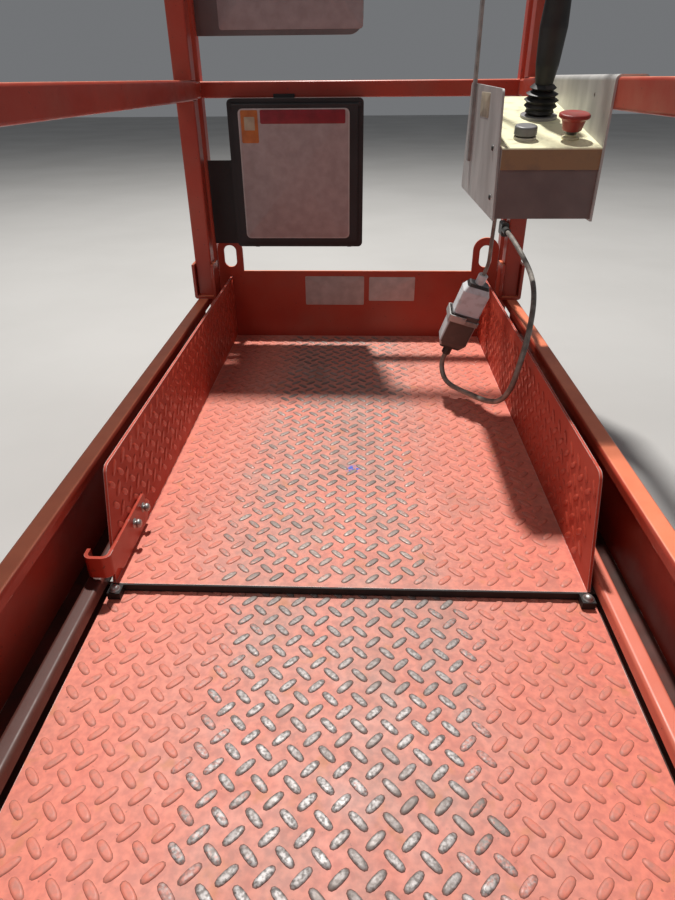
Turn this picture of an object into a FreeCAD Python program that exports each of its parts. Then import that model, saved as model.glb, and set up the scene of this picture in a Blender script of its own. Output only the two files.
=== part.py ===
import FreeCAD, Part
import math
import os
from FreeCAD import Vector

# Work platform of a scissor lift: a sheet-metal tray with a checker-plate deck and tubular guardrails, a
# roll-out deck extension that slides along +Y, an entry gate, and a control box hung on the right rail.
# Millimetres, +Z up, +Y towards the extension, +X to the right. The floor is at Z = 0, X = 0 is the
# platform's middle plane, and Y = 0 is half way along it. Lengths along the platform are first given as
# s, measured forward from the seam where the extension deck starts, and place() turns s into Y.

# Platform, overall
platform_half_width = 380.0      # outer face of a side wall
tray_rear = -690.0               # s of the tray's rear end
tray_front = 898.0               # s of its front end
sheet = 3.0                      # wall sheet, tray floor, tracks and checker plate
sheet_bend = 2.0                 # inner radius of a bend in it
lug_height = 1.3                 # raised lugs of the checker plate, left to the finish

# Underframe
channel_height = 70.0
channel_width = 42.0
channel_wall = 5.0
channel_bend = 5.0
channel_inset = 118.0            # from a side wall's outer face in to a channel's web
channel_end_inset = 24.0         # from the tray's ends to the channels' ends
cross_member_count = 4
cross_member_width = 60.0
cross_member_height = 40.0
outrigger_thickness = 8.0
outrigger_tip_height = 14.0
outrigger_root_gap = 12.0        # from the floor up to its lower edge at the channel
outrigger_tip_gap = 7.0          # from its tip to the side wall
pivot_bore_radius = 15.0
pivot_plate_thickness = 12.0
pivot_plate_length = 92.0
pivot_plate_height = 60.0
pivot_plate_corner = 14.0
pivot_from_rear = 140.0          # from the tray's rear end to the pivots

# Tray, deck and tracks
wall_top_above_deck = 139.0
wall_flange = 28.0
wall_lip = 15.0
trough_width = 34.0              # between a side wall and the track beside it
track_width = 21.0
track_height = 29.0              # above the main deck
track_lip_gap = 12.0             # from the main deck up to the track's inner lip
track_gap = 1.0                  # between the deck plate's edge and the track

# Roll-out deck extension
slide_travel = 850.0
front_overhang = 49.0            # from the tray's front end to the toe board's rear face
extension_step = 12.0            # extension deck top above the main deck top
extension_side_gap = 6.0         # from the main deck's edge in to the extension deck's edge
side_plate_thickness = 4.0
side_plate_height = 155.0
side_plate_rake = 45.0           # the rear edge leans forward by this much at its top
side_plate_corner = 14.0
toe_board_height = 168.0
toe_board_thickness = 5.0
eye_inset = 32.0                 # from the front post's inner face to the middle of an eye
eye_width = 62.0
eye_height = 80.0
eye_slot_width = 30.0
eye_slot_height = 52.0
eye_corner = 30.0
eye_slot_corner = 14.0
eye_wall_above = 18.0            # from the slot up to the eye's top
runner_engagement = 608.0        # of a runner, still inside its track with the deck rolled out
runner_thickness = 10.0
runner_web_gap = 2.0             # between the runner and the track's web, and under the track's top
runner_end_inset = 6.0
foot_thickness = 6.0
foot_inset = 15.0                # from the extension deck's edge in to the foot's inner edge
pad_length = 40.0
slide_gap = 0.3                  # between a wear pad and what it slides on
wear_strip_width = 20.0
wear_strip_inset = 27.0          # from the main deck's edge in to a wear strip's end
wiper_thickness = 3.0            # of the strip's upright lip, across the extension deck's rear edge
guide_block_length = 20.0        # behind the extension deck's rear edge
guide_block_width = 17.0
guide_block_reach = 2.0          # out past the side plate

# Guardrails
rail_size = 38.0
rail_wall = 2.5
rail_inset = 20.0                # from the platform's side in to the middle of the side rails
inner_rail_size = 32.0
inner_rail_wall = 2.5
rail_engagement = 648.0          # of an inner rail, still inside the side rail with the deck rolled out
tube_corner = 4.0
mid_rail_height = 572.0          # middle of the mid rail above the main deck
top_rail_height = 1100.0         # top of the top rail above the main deck
bracket_wall = 6.0
bracket_bend = 0.5
bracket_length = 50.0
bracket_height = 80.0
bracket_pin_radius = 6.0
bracket_pin_height = 65.0        # above the side wall
pin_head_radius = 10.0
pin_head_length = 5.0
fit_gap = 0.5                    # between a post and its bracket's ears

# Rear frame and entry gate
rear_panel_width = 104.0         # fixed part of the rear end, beside the gate
sill_height = 35.0
gate_tube = 32.0
gate_latch_gap = 8.0
gate_sill_gap = 7.0
gate_kick_height = 130.0
gate_stop_reach = 12.0           # how far a stop laps behind the gate's free stile
gate_stop_height = 60.0
gate_stop_offset = 50.0          # from a hinge's level to the stop's level, towards the mid rail
hinge_inset = 3.5                # from the rear post's inner face to the hinge axis
hinge_side_gap = 8.5             # from the hinge axis to the gate's stile
hinge_stand = 12.0               # from the gate's inner face to the hinge axis
hinge_radius = 7.0
hinge_pin_radius = 4.0
hinge_running_gap = 0.05
hinge_knuckle = 30.0
hinge_leaf_wall = 4.0
hinge_web = 6.0
gate_leaf_width = 26.0
post_leaf_width = 30.0
lower_hinge_above_bracket = 55.0
upper_hinge_below_rail = 227.0

# Stop hook, bolted inside the left side plate
hook_wall = 5.0
hook_bend = 6.0
hook_front = 136.0               # s of the bar's front end
hook_rear = -15.0                # s of its bent rear end
hook_reach = 30.0                # from the side plate out to the lip
hook_lip = 20.0
hook_low = 22.0                  # above the extension deck, at its bent end
hook_bar_low = 8.0               # above the extension deck, along the side plate
hook_high = 54.0
hook_heel_s = 22.0               # where its lower edge reaches the bar's level
hook_corner = 5.0

# Front frame fittings
notice_width = 353.0
notice_height = 394.0
notice_corner = 30.0
holder_arm = 61.0                # from the left front post to the holder's case
holder_arm_height = 184.0
holder_width = 295.0
holder_height = 308.0
holder_depth = 38.0
holder_wall = 4.0
holder_rim = 20.0                # frame round the opening that the lid covers
holder_corner = 10.0
holder_clip_width = 46.0
holder_clip_height = 8.0
holder_clip_from_left = 121.0    # from the holder's left side to the clip's middle
holder_feet_from_left = (44.0, 264.0)
holder_foot_width = 9.0
holder_foot_drop = 5.0
lid_margin = 12.0
lid_corner = 9.0
lid_thickness = 6.0
lid_gap = 1.0
lid_hinge_radius = 3.5
lid_pin_radius = 2.0
lid_pin_depth = 6.0
lid_ear = 6.0

# Control box
box_width = 141.0
box_setback = 245.0              # from the tray's front end back to the case's front end
box_length = 318.0
box_drop = 157.0                 # from the mid rail's middle down to the box's bottom
box_sheet = 3.0
panel_rear_height = 93.0         # above the box's bottom
panel_slope = 0.17
panel_sheet = 2.0
panel_bend = 1.0
panel_lip = 28.0                 # the panel's rear edge is bent down by this much
guard_front_height = 172.0       # left guard plate's front and rear ends, above its own lower edge
guard_rear_height = 166.0
guard_rear_inset = 28.0          # from the case's rear end to the top of the left guard plate's rear edge
guard_foot_inset = 3.0           # the same at its foot
guard_lap = 3.0                  # how far a guard plate reaches below the case
guard_margin = 2.0
guard_flare = 22.0               # the left guard plate leans this much further forward at its bottom
guard_corner = 8.0
rail_hook_drop = 25.0            # the right guard plate is bent over the mid rail and down by this much
sight_hole_radius = 3.0
sight_hole_spot = (75.0, 22.0)   # from the case's rear end, and down from the mid rail's top
stop_spot = (105.0, 45.0)        # each control's place on the panel, from the box's left rear corner
knob_spot = (41.0, 45.0)
stick_spot = (86.0, 168.0)
hanger_from_front = 53.0         # from the case's front end to the hanger's middle
hanger_width = 16.0
hanger_thickness = 5.0
hanger_bend = 3.0
hanger_foot = 50.0               # above the box's bottom
hanger_drop = 31.0

# Controls, turned about the panel's normal. Rows are (radius, height, corner radius).
stop_rows = ((0, 0, 0), (12, 0, 0), (12, 3, 1), (7.5, 3, 0), (7.5, 10, 0), (13, 11, 2), (16.5, 25, 3),
             (21.5, 28, 1.5), (21, 33, 3), (0, 33, 0))
knob_rows = ((0, 0, 0), (15.5, 0, 0), (15.5, 4, 1), (13, 4, 0), (13, 6, 0), (16, 6, 1), (15.5, 18, 3),
             (0, 18, 0))
grip_rows = ((0, 46, 0), (13, 46, 0), (17, 72, 12), (20, 120, 30), (17, 167, 9), (0, 167, 0))
boot_flange_radius = 28.0
boot_flange_height = 4.0
boot_radii = (22.0, 25.0, 26.0, 24.0, 20.0)
boot_neck = 5.0                  # depth of a fold
boot_top = 46.0

# Cords and their connector. A point is given as (X from the right rail's inner face, s from the box's
# front end, share of the height from the extension deck up to the box). Routes end at the plug's glands.
cable_diameter = 10.0
pigtail_diameter = 7.0
cable_route = (
    (-4, 99, 0.680), (2, 47, 0.645),
    (4, -11, 0.613), (-1, -68, 0.588), (-11, -123, 0.561), (-24, -175, 0.524),
    (-38, -218, 0.457), (-51, -242, 0.365), (-60, -247, 0.261), (-71, -229, 0.171),
    (-88, -193, 0.124), (-110, -148, 0.104), (-140, -100, 0.092), (-154, -69, 0.097),
    (-160, -51, 0.134))
pigtail_route = (
    (-101, -129, 0.859), (-100, -121, 0.804),
    (-98, -109, 0.749))
cable_first_run = 36.0           # straight run out of the outlet's gland
pigtail_exit = (-101.0, -133.0)  # X and s of the gland under the box, from the same places
pigtail_first_run = 19.0
last_run = 20.0                  # straight run of a cord into the plug
bend_share = 0.45                # of the shorter run, taken by each end of a cord's arc
plug_bottom = (-149, -53, 0.270)
plug_top = (-107, -86, 0.608)
plug_gland_length = 18.0
plug_gland_radius = 9.0
plug_width = 56.0
plug_depth = 38.0
plug_corner = 5.0
plug_shoulder = 16.0             # each hood narrows over this length at its gland end
plug_neck = 7.0                  # and by this much on each side
plug_step = 2.0                  # the upper hood is this much smaller all round
plug_split = 0.50                # share of the length taken by the lower hood
rim_height = 9.0                 # thicker rim of each hood at the joint
rim_step = 2.0
lever_width = 13.0
lever_wall = 2.5
lever_bend = 2.5
lever_reach = 34.0               # from the lever's back to its arms' ends
peg_radius = 4.5
peg_length = 4.0
gland_radius = 8.0
box_gland_length = 16.0
outlet_above_bracket = 76.0      # small outlet housing on the front right post's inner face
outlet_gland_length = 29.0
outlet_depth = 16.0
outlet_length = 34.0
outlet_height = 30.0
outlet_corner = 5.0

# Worked-out places
wall_inner_x = platform_half_width - sheet
track_outer_x = wall_inner_x - trough_width
track_inner_x = track_outer_x - track_width
deck_half_width = track_inner_x - track_gap
extension_half_width = deck_half_width - extension_side_gap
channel_web_x = platform_half_width - channel_inset
flange_tip_x = channel_web_x - channel_width
rail_x = platform_half_width - rail_inset
half_rail = rail_size / 2
half_inner = inner_rail_size / 2
rail_face_x = rail_x - half_rail
inner_rail_face_x = rail_x - half_inner

tray_floor_top = channel_height + sheet
deck_top = tray_floor_top + sheet
extension_top = deck_top + extension_step
extension_under = extension_top - sheet
wall_top = deck_top + wall_top_above_deck
track_top = deck_top + track_height
toe_top = extension_top + toe_board_height
mid_rail_z = deck_top + mid_rail_height
top_rail_z = deck_top + top_rail_height - half_rail
bracket_top = wall_top + bracket_height
sill_top = deck_top + sill_height

extension_length = tray_front + front_overhang
overall_front = extension_length + inner_rail_size
seam_y = -(tray_rear + overall_front) / 2
front_post_s = tray_front - half_rail
rear_post_s = tray_rear + half_rail
inner_rail_rear = tray_front - slide_travel - rail_engagement
runner_rear = tray_front - slide_travel - runner_engagement

sides = (("left", -1), ("right", 1))
up, forward, rightward = Vector(0, 0, 1), Vector(0, 1, 0), Vector(1, 0, 0)

os.makedirs("parts", exist_ok=True)


def place(s):
    """Y of a place given as s, measured forward from the seam."""
    return s + seam_y


def spot(x, s, z):
    return Vector(x, place(s), z)


def block(x0, x1, s0, s1, z0, z1):
    low_x, high_x = min(x0, x1), max(x0, x1)
    return Part.makeBox(high_x - low_x, s1 - s0, z1 - z0, spot(low_x, s0, z0))


def cylinder(radius, start, axis, length):
    return Part.makeCylinder(radius, length, start, axis)


def corner_arc(before, corner, after, radius):
    """First, middle and last point of the tangent arc that rounds a corner."""
    back = (before - corner).normalize()
    ahead = (after - corner).normalize()
    half_turn = (math.pi - back.getAngle(ahead)) / 2
    reach = radius * math.tan(half_turn)
    middle_gap = radius / math.cos(half_turn) - radius
    return corner + back * reach, corner + (back + ahead).normalize() * middle_gap, corner + ahead * reach


def open_path(points, radii):
    """Straight runs through the points, with a tangent arc at each inner point."""
    edges = []
    start = points[0]
    for before, corner, after, radius in zip(points, points[1:], points[2:], radii):
        first, middle, last = corner_arc(before, corner, after, radius)
        edges += [Part.makeLine(start, first), Part.Arc(first, middle, last).toShape()]
        start = last
    return edges + [Part.makeLine(start, points[-1])]


def outline(corners):
    """Face inside a closed line through (point, radius) corners. A radius of 0 leaves the corner sharp."""
    bends = []
    for index, (corner, radius) in enumerate(corners):
        before, after = corners[index - 1][0], corners[(index + 1) % len(corners)][0]
        bends.append(corner_arc(before, corner, after, radius) if radius else (corner, None, corner))
    edges = []
    for index, (first, middle, last) in enumerate(bends):
        if middle:
            edges.append(Part.Arc(first, middle, last).toShape())
        edges.append(Part.makeLine(last, bends[(index + 1) % len(bends)][0]))
    return Part.Face(Part.Wire(edges))


def along(section, s0, s1):
    """Carry a section of (X, Z, corner radius) rows from s0 to s1."""
    return outline([(spot(x, s0, z), r) for x, z, r in section]).extrude(forward * (s1 - s0))


def across(view, x0, x1):
    """Carry a side view of (s, Z, corner radius) rows from x0 to x1."""
    return outline([(spot(x0, s, z), r) for s, z, r in view]).extrude(rightward * (x1 - x0))


def rounded_block(x0, x1, s0, s1, z0, z1, corner):
    """A block whose four edges along the platform are rounded."""
    return along([(x0, z0, corner), (x1, z0, corner), (x1, z1, corner), (x0, z1, corner)], s0, s1)


def bent_sheet(skin, thickness, bend, travel):
    """Sheet bent along its outer skin, with every bend the same way. 'bend' is the inner radius."""
    inner = []
    normals = []
    for before, corner, after in zip(skin, skin[1:], skin[2:]):
        back = (before - corner).normalize()
        ahead = (after - corner).normalize()
        inward = (back + ahead).normalize()
        inner.append(corner + inward * (thickness / math.cos((math.pi - back.getAngle(ahead)) / 2)))
        normals += [(inward - back * inward.dot(back)).normalize(),
                    (inward - ahead * inward.dot(ahead)).normalize()]
    inner = [skin[0] + normals[0] * thickness] + inner + [skin[-1] + normals[-1] * thickness]
    inner.reverse()
    bends = len(skin) - 2
    edges = open_path(skin, [bend + thickness] * bends) + [Part.makeLine(skin[-1], inner[0])]
    edges += open_path(inner, [bend] * bends) + [Part.makeLine(inner[-1], skin[0])]
    return Part.Face(Part.Wire(edges)).extrude(travel)


def on_side(side, shape):
    """A piece is drawn for the right side, and mirrored for the left."""
    return shape if side > 0 else shape.mirror(Vector(0, 0, 0), rightward)


def square_tube(size, wall, start, axis, length, end_plate=0):
    """Square tube along an axis. An end plate closes it at its start."""
    half, inner_half = size / 2, size / 2 - wall
    outer = outline([(Vector(x, y, 0), tube_corner)
                     for x, y in ((-half, -half), (half, -half), (half, half), (-half, half))])
    tube = outer.extrude(Vector(0, 0, length))
    tube = tube.cut(Part.makeBox(2 * inner_half, 2 * inner_half, length,
                                 Vector(-inner_half, -inner_half, end_plate)))
    tube.Placement = FreeCAD.Placement(start, FreeCAD.Rotation(up, axis))
    return tube


def save(node, *pieces):
    shape = pieces[0] if len(pieces) == 1 else Part.Compound(list(pieces))
    shape.exportStep("parts/" + node + ".step")
    print(node, round(shape.Volume / 1000, 1), "cm3", shape.isValid())


# Underframe: two C channels that the scissor arms' slide blocks run in, cross members, outriggers under
# the tray's sides, and plates on the channels' webs with the bores of the fixed pivots.
def make_underframe():
    s0, s1 = tray_rear + channel_end_inset, tray_front - channel_end_inset
    pivot_s = tray_rear + pivot_from_rear
    pivot_z = channel_height / 2
    bore = cylinder(pivot_bore_radius, spot(flange_tip_x, pivot_s, pivot_z), rightward,
                    channel_width + pivot_plate_thickness)
    skin = [spot(flange_tip_x, s0, channel_height), spot(channel_web_x, s0, channel_height),
            spot(channel_web_x, s0, 0), spot(flange_tip_x, s0, 0)]
    channel = bent_sheet(skin, channel_wall, channel_bend, forward * (s1 - s0)).cut(bore)
    for name, side in sides:
        save("slide_channel_" + name, on_side(side, channel))

    half_length, half_height = pivot_plate_length / 2, pivot_plate_height / 2
    plate = across([(pivot_s + a * half_length, pivot_z + b * half_height, pivot_plate_corner)
                    for a, b in ((-1, -1), (1, -1), (1, 1), (-1, 1))],
                   channel_web_x, channel_web_x + pivot_plate_thickness).cut(bore)
    save("pivot_plates", *[on_side(side, plate) for _, side in sides])

    members = []
    first, last = s0 + cross_member_width / 2, s1 - cross_member_width / 2
    spacing = (last - first) / (cross_member_count - 1)
    low_z = channel_height - cross_member_height
    arm_tip_x = wall_inner_x - outrigger_tip_gap
    arm = [(channel_web_x, channel_height, 0), (arm_tip_x, channel_height, 0),
           (arm_tip_x, channel_height - outrigger_tip_height, 0), (channel_web_x, outrigger_root_gap, 0)]
    for index in range(cross_member_count):
        station = first + index * spacing
        low_s, high_s = station - cross_member_width / 2, station + cross_member_width / 2
        tube = block(-flange_tip_x, flange_tip_x, low_s, high_s, low_z, channel_height)
        hollow = block(-flange_tip_x, flange_tip_x, low_s + sheet, high_s - sheet, low_z + sheet,
                       channel_height - sheet)
        members.append(tube.cut(hollow))
        outrigger = along(arm, station - outrigger_thickness / 2, station + outrigger_thickness / 2)
        members += [on_side(side, outrigger) for _, side in sides]
    save("cross_members", *members)


# Tray: floor sheet, flanged side walls, checker plate, and a lipped track on each side.
def make_tray():
    length = forward * (tray_front - tray_rear)
    save("tray_floor", block(-wall_inner_x, wall_inner_x, tray_rear, tray_front, channel_height,
                             tray_floor_top))
    flange_x = platform_half_width - wall_flange
    wall_skin = [(platform_half_width, channel_height), (platform_half_width, wall_top),
                 (flange_x, wall_top), (flange_x, wall_top - wall_lip)]
    track_skin = [(track_outer_x, tray_floor_top), (track_outer_x, track_top), (track_inner_x, track_top),
                  (track_inner_x, deck_top + track_lip_gap)]
    for node, skin in (("side_wall_", wall_skin), ("slide_track_", track_skin)):
        piece = bent_sheet([spot(x, tray_rear, z) for x, z in skin], sheet, sheet_bend, length)
        for name, side in sides:
            save(node + name, on_side(side, piece))
    save("main_deck", block(-deck_half_width, deck_half_width, tray_rear, tray_front, tray_floor_top,
                            deck_top))
    strip_x = deck_half_width - wear_strip_inset
    save("front_wear_strip", block(-strip_x, strip_x, tray_front - wear_strip_width, tray_front, deck_top,
                                   extension_under - slide_gap))


# Side guardrails: each rail runs right through, and a post stands below and above the mid rail. A post's
# foot is pinned in a bracket on the wall's flange.
def make_side_guardrails():
    ear_inner = rail_face_x - fit_gap - bracket_wall
    ear_outer = rail_x + half_rail + fit_gap + bracket_wall
    seat = wall_top + bracket_wall
    pin_z = wall_top + bracket_pin_height
    ends = (("front", front_post_s, tray_front - bracket_length),
            ("rear", rear_post_s, tray_rear))
    for name, side in sides:
        rails = [square_tube(rail_size, rail_wall, spot(rail_x * side, tray_rear, z), forward,
                             tray_front - tray_rear, rail_wall) for z in (mid_rail_z, top_rail_z)]
        save("side_rails_" + name, *rails)
        for end, post_s, bracket_s in ends:
            lower = square_tube(rail_size, rail_wall, spot(rail_x, post_s, seat), up,
                                mid_rail_z - half_rail - seat)
            upper = square_tube(rail_size, rail_wall, spot(rail_x, post_s, mid_rail_z + half_rail), up,
                                top_rail_z - mid_rail_z - rail_size)
            pin_hole = cylinder(bracket_pin_radius + fit_gap, spot(ear_inner, post_s, pin_z), rightward,
                                ear_outer - ear_inner)
            save(end + "_post_" + name, on_side(side, lower.cut(pin_hole)), on_side(side, upper))
            skin = [spot(ear_inner, bracket_s, bracket_top), spot(ear_inner, bracket_s, wall_top),
                    spot(ear_outer, bracket_s, wall_top), spot(ear_outer, bracket_s, bracket_top)]
            ears = bent_sheet(skin, bracket_wall, bracket_bend, forward * bracket_length)
            pin = cylinder(bracket_pin_radius, spot(ear_inner, post_s, pin_z), rightward,
                           ear_outer - ear_inner)
            head = cylinder(pin_head_radius, spot(ear_outer, post_s, pin_z), rightward, pin_head_length)
            bracket = ears.fuse([pin, head]).removeSplitter()
            save(end + "_post_bracket_" + name, on_side(side, bracket))


# Rear end: a threshold tube, a latch post with the gate's stops, and short fixed rails beside the gate.
latch_post_x = -rail_face_x + rear_panel_width + half_rail
latch_face_x = latch_post_x + half_rail
gate_free_side = latch_face_x + gate_latch_gap
gate_hinge_x = rail_face_x - hinge_inset
gate_hinge_side = gate_hinge_x - hinge_side_gap
gate_hinge_s = rear_post_s + gate_tube / 2 + hinge_stand
gate_bottom_z = sill_top + gate_sill_gap
gate_top_z = top_rail_z + half_rail
hinge_levels = (bracket_top + lower_hinge_above_bracket, top_rail_z - upper_hinge_below_rail)
stop_levels = (hinge_levels[0] + gate_stop_offset, hinge_levels[1] - gate_stop_offset)


def make_rear_frame():
    s0, s1 = tray_rear, tray_rear + rail_size
    outer = block(-deck_half_width, deck_half_width, s0, s1, deck_top, sill_top)
    hollow = block(-deck_half_width, deck_half_width, s0 + rail_wall, s1 - rail_wall, deck_top + rail_wall,
                   sill_top - rail_wall)
    save("sill", outer.cut(hollow))
    post = square_tube(rail_size, rail_wall, spot(latch_post_x, rear_post_s, sill_top), up,
                       top_rail_z - half_rail - sill_top)
    stop_depth = (rail_size - gate_tube) / 2 - slide_gap
    stops = [block(latch_face_x - rail_wall, gate_free_side + gate_stop_reach, s0, s0 + stop_depth,
                   z - gate_stop_height / 2, z + gate_stop_height / 2) for z in stop_levels]
    save("latch_post", post.fuse(stops).removeSplitter())
    panel_end = latch_post_x - half_rail
    top = square_tube(rail_size, rail_wall, spot(-rail_face_x, rear_post_s, top_rail_z), rightward,
                      rail_face_x + latch_face_x)
    mid = square_tube(rail_size, rail_wall, spot(-rail_face_x, rear_post_s, mid_rail_z), rightward,
                      rail_face_x + panel_end)
    save("rear_rails", top, mid)
    save("rear_kick_plate", block(-rail_face_x, panel_end, rear_post_s - sheet / 2, rear_post_s + sheet / 2,
                                  sill_top, wall_top))


def make_gate():
    half = gate_tube / 2
    stiles = [square_tube(gate_tube, rail_wall, spot(x, rear_post_s, gate_bottom_z), up,
                          gate_top_z - gate_bottom_z)
              for x in (gate_hinge_side - half, gate_free_side + half)]
    save("gate_stiles", *stiles)
    inner_left = gate_free_side + gate_tube
    inner_right = gate_hinge_side - gate_tube
    rails = [square_tube(gate_tube, rail_wall, spot(inner_left, rear_post_s, z), rightward,
                         inner_right - inner_left)
             for z in (gate_bottom_z + half, mid_rail_z, gate_top_z - half)]
    save("gate_rails", *rails)
    kick_z = gate_bottom_z + gate_tube
    save("gate_kick_plate", block(inner_left, inner_right, rear_post_s - sheet / 2, rear_post_s + sheet / 2,
                                  kick_z, kick_z + gate_kick_height))


# Gate hinges: the gate's leaf has the middle knuckle, and the post's leaf the two outer ones and the pin.
def make_gate_hinges():
    gate_face_s = rear_post_s + gate_tube / 2
    post_face_s = rear_post_s + half_rail
    knuckle_pitch = hinge_knuckle + slide_gap
    gate_leaves = []
    post_leaves = []
    for level in hinge_levels:
        middle = level - hinge_knuckle / 2
        barrel = cylinder(hinge_radius, spot(gate_hinge_x, gate_hinge_s, middle), up, hinge_knuckle)
        hole = cylinder(hinge_pin_radius + hinge_running_gap, spot(gate_hinge_x, gate_hinge_s, middle), up,
                        hinge_knuckle)
        leaf = block(gate_hinge_side - gate_leaf_width, gate_hinge_side, gate_face_s,
                     gate_face_s + hinge_leaf_wall, middle, middle + hinge_knuckle)
        arm = outline([(spot(gate_hinge_side - hinge_leaf_wall, gate_face_s, middle), 0),
                       (spot(gate_hinge_side, gate_face_s, middle), 0),
                       (spot(gate_hinge_x, gate_hinge_s - hinge_leaf_wall, middle), 0),
                       (spot(gate_hinge_x - hinge_leaf_wall, gate_hinge_s, middle), 0)])
        arm = arm.extrude(up * hinge_knuckle)
        gate_leaves.append(barrel.fuse([leaf, arm]).cut(hole).removeSplitter())

        low = middle - knuckle_pitch
        pin = cylinder(hinge_pin_radius, spot(gate_hinge_x, gate_hinge_s, low), up,
                       2 * knuckle_pitch + hinge_knuckle)
        plate = block(rail_face_x + hinge_leaf_wall, rail_face_x + post_leaf_width, post_face_s,
                      post_face_s + hinge_leaf_wall, low, middle + knuckle_pitch + hinge_knuckle)
        pieces = [plate]
        for start in (low, middle + knuckle_pitch):
            knuckle = cylinder(hinge_radius, spot(gate_hinge_x, gate_hinge_s, start), up, hinge_knuckle)
            tongue = block(rail_face_x, rail_face_x + post_leaf_width, post_face_s,
                           post_face_s + hinge_leaf_wall, start, start + hinge_knuckle)
            web = block(gate_hinge_x, gate_hinge_x + hinge_web, post_face_s, gate_hinge_s, start,
                        start + hinge_knuckle)
            pieces += [knuckle, tongue, web]
        post_leaves.append(pin.fuse(pieces).removeSplitter())
    save("gate_hinge_leaves", *gate_leaves)
    save("post_hinge_leaves", *post_leaves)


# Roll-out deck: a plate with raked side plates, carried by runners in the tracks and by wear strips.
def make_extension_deck():
    raked = [(0, extension_under, 0), (extension_length, extension_under, 0),
             (extension_length, extension_top + side_plate_height, 0),
             (side_plate_rake, extension_top + side_plate_height, side_plate_corner), (0, extension_top, 0)]
    floor = block(-extension_half_width, extension_half_width, 0, extension_length, extension_under,
                  extension_top)
    plate = across(raked, extension_half_width - side_plate_thickness, extension_half_width)
    save("extension_deck", floor.fuse([on_side(side, plate) for _, side in sides]).removeSplitter())

    strip_x, strip_z = deck_half_width - wear_strip_inset, deck_top + lug_height + slide_gap
    strip = block(-strip_x, strip_x, -wiper_thickness, wear_strip_width, strip_z, extension_under)
    wiper = block(-extension_half_width, extension_half_width, -wiper_thickness, 0, strip_z, extension_top)
    block_x = extension_half_width + guide_block_reach
    guide = block(block_x - guide_block_width, block_x, -guide_block_length, 0, strip_z, extension_top)
    strip = strip.fuse([wiper] + [on_side(side, guide) for _, side in sides])
    save("rear_wear_strip", strip.removeSplitter())

    bar_outer = track_outer_x - sheet - runner_web_gap
    foot_z = extension_under - foot_thickness
    ahead = extension_length - runner_end_inset
    foot = block(extension_half_width - foot_inset, bar_outer, runner_end_inset, ahead, foot_z,
                 extension_under)
    bar = block(bar_outer - runner_thickness, bar_outer, runner_rear, ahead, foot_z,
                track_top - sheet - runner_web_gap)
    runner = foot.fuse(bar).removeSplitter()
    for name, side in sides:
        save("runner_" + name, on_side(side, runner))
    pad = rounded_block(track_inner_x + sheet + slide_gap, track_outer_x - sheet - slide_gap,
                        runner_rear - pad_length, runner_rear, tray_floor_top + slide_gap,
                        track_top - sheet - slide_gap, sheet_bend)
    save("runner_pads", *[on_side(side, pad) for _, side in sides])


# Toe board across the extension's front, with a lifting eye at each end.
def make_toe_board():
    s0, s1 = extension_length, extension_length + toe_board_thickness
    board = block(-inner_rail_face_x, inner_rail_face_x, s0, s1, extension_under, toe_top)
    eye_x = inner_rail_face_x - eye_inset
    eye_top = toe_top + eye_height
    slot_top = eye_top - eye_wall_above
    low_x, high_x, low_z = eye_x - eye_width / 2, eye_x + eye_width / 2, toe_top - eye_width
    eye = along([(low_x, low_z, 0), (high_x, low_z, 0), (high_x, eye_top, eye_corner),
                 (low_x, eye_top, eye_corner)], s0, s1)
    slot = rounded_block(eye_x - eye_slot_width / 2, eye_x + eye_slot_width / 2, s0, s1,
                         slot_top - eye_slot_height, slot_top, eye_slot_corner)
    board = board.fuse([on_side(side, eye) for _, side in sides])
    save("toe_board", board.cut([on_side(side, slot) for _, side in sides]).removeSplitter())


# Extension guardrails: thinner tubes that slide inside the side rails, and a front frame.
def make_extension_rails():
    post_s = extension_length + half_inner
    for name, side in sides:
        rails = [square_tube(inner_rail_size, inner_rail_wall, spot(rail_x * side, inner_rail_rear, z),
                             forward, extension_length - inner_rail_rear) for z in (mid_rail_z, top_rail_z)]
        save("extension_rails_" + name, *rails)
        save("extension_post_" + name,
             square_tube(inner_rail_size, inner_rail_wall, spot(rail_x * side, post_s, extension_under), up,
                         top_rail_z - half_inner - extension_under))
    half_top = rail_x + half_inner
    top = square_tube(inner_rail_size, inner_rail_wall, spot(-half_top, post_s, top_rail_z), rightward,
                      2 * half_top)
    mid = square_tube(inner_rail_size, inner_rail_wall, spot(-inner_rail_face_x, post_s, mid_rail_z),
                      rightward, 2 * inner_rail_face_x)
    save("front_rails", top, mid)


# Stop hook: a bar bolted inside the left side plate and bent round the plate's rear.
def make_stop_hook():
    plate_inner = -(extension_half_width - side_plate_thickness)
    low, base, high = (extension_top + height for height in (hook_low, hook_bar_low, hook_high))
    lip_x, lip_end = plate_inner - hook_reach, hook_rear + hook_lip
    skin = [spot(plate_inner + hook_wall, hook_front, base), spot(plate_inner + hook_wall, hook_rear, base),
            spot(lip_x, hook_rear, base), spot(lip_x, lip_end, base)]
    bar = bent_sheet(skin, hook_wall, hook_bend, up * (high - base))
    view = [(hook_rear, low, 0), (lip_end, low, 0), (hook_heel_s, base, 0), (hook_front, base, hook_corner),
            (hook_front, high, hook_corner), (hook_rear, high, 0)]
    save("stop_hook", bar.common(across(view, lip_x, plate_inner + hook_wall)))


# Front frame fittings: a plain notice plate, and a moulded holder whose lid hangs from its top.
holder_left_x = -inner_rail_face_x + holder_arm
holder_right_x = holder_left_x + holder_width
holder_top_z = mid_rail_z - half_inner
holder_bottom_z = holder_top_z - holder_height
holder_front_s = extension_length - holder_depth
lid_hinge_z = holder_top_z - lid_margin
lid_hinge_s = holder_front_s - lid_gap - lid_thickness / 2


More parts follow.
